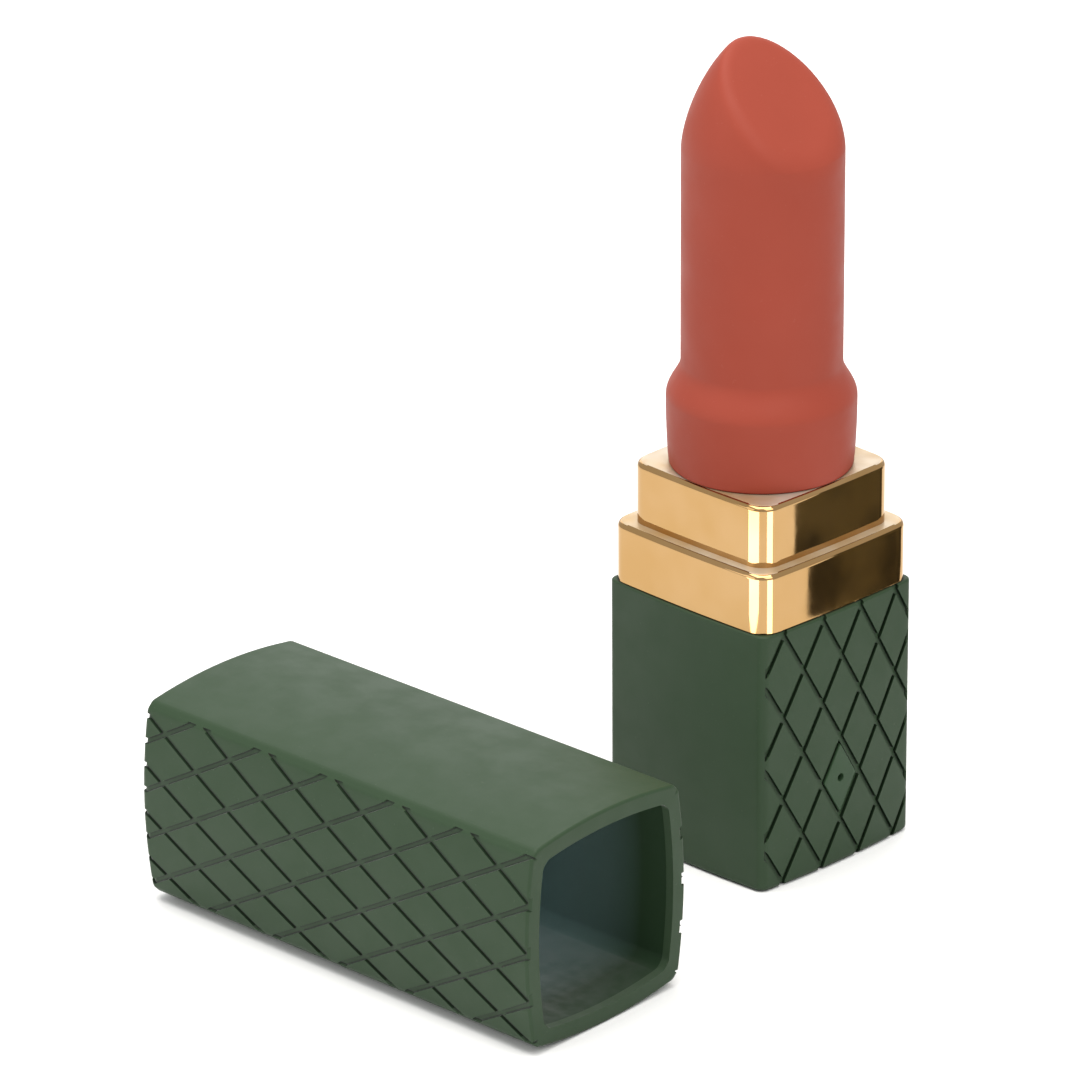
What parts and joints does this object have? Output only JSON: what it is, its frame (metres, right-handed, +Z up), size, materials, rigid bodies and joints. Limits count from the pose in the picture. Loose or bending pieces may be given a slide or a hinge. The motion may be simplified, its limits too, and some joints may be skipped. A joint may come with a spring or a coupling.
{
  "type": "lipstick-shaped massager",
  "caption": "Hand-sized massager shaped like a lipstick: patterned soft case, gold two-step collar, slanted soft tip, and a pull-off cap lying beside it.",
  "frame": {"origin": "centre of the standing case's underside, on the surface it stands on", "axes": "+Z up along the case's axis, +X out of the face with the charging port"},
  "size_m": [0.0704, 0.0884, 0.1121],
  "materials": {
    "green_silicone": "soft-touch matt",
    "dark_plastic": "fine matt",
    "key_plastic": "fine matt",
    "black_rubber": "matt",
    "inner_plastic": "fine matt",
    "liner_plastic": "semi-gloss",
    "steel": "plain",
    "black_plastic": "fine matt",
    "board_laminate": "lacquered",
    "clear_plastic": "clear",
    "cell_wrap": "shrink wrap",
    "foam": "open-cell foam",
    "red_wire": "insulation",
    "blue_wire": "insulation",
    "white_plastic": "plain",
    "weight_brass": "machined",
    "gold_plating": "polished pale gold plating",
    "terracotta_silicone": "soft-touch matt"
  },
  "bodies": {
    "case": {"case_sleeve": "green_silicone", "port_seal": "green_silicone", "base_cover": "dark_plastic", "base_gasket": "black_rubber", "seal_ring": "black_rubber", "motor_holder": "black_rubber", "housing_front": "inner_plastic", "housing_rear": "inner_plastic", "battery_cup": "inner_plastic", "tip_core": "inner_plastic", "housing_screws": "steel", "jack_pins": "steel", "motor_can": "steel", "charging_jack": "black_plastic", "controller_chip": "black_plastic", "tact_switch": "black_plastic", "circuit_board": "board_laminate", "board_parts": "board_laminate", "status_led": "clear_plastic", "light_pipe": "clear_plastic", "battery_cell": "cell_wrap", "battery_pad": "foam", "battery_leads": "red_wire", "motor_leads": "blue_wire", "motor_end_cap": "white_plastic", "collar": "gold_plating", "tip_sleeve": "terracotta_silicone"},
    "cap": {"cap_sleeve": "green_silicone", "cap_liner": "liner_plastic"},
    "button": {"button_key": "key_plastic", "switch_plunger": "black_plastic"},
    "rotor": {"motor_shaft": "steel", "eccentric_weight": "weight_brass"}
  },
  "joints": [
    {"name": "cap_lift", "type": "slide", "parent": "case", "child": "cap", "axis": [0, 0, 1], "range_m": [0, 0.12]},
    {"name": "button_press", "type": "slide", "parent": "case", "child": "button", "axis": [0, 0, 1], "range_m": [0, 0.0006], "stiffness_N_per_m": 1200},
    {"name": "motor_spin", "type": "hinge", "parent": "case", "child": "rotor", "pos_m": [0, 0, 0.08], "axis": [0, 0, 1], "continuous": true}
  ]
}
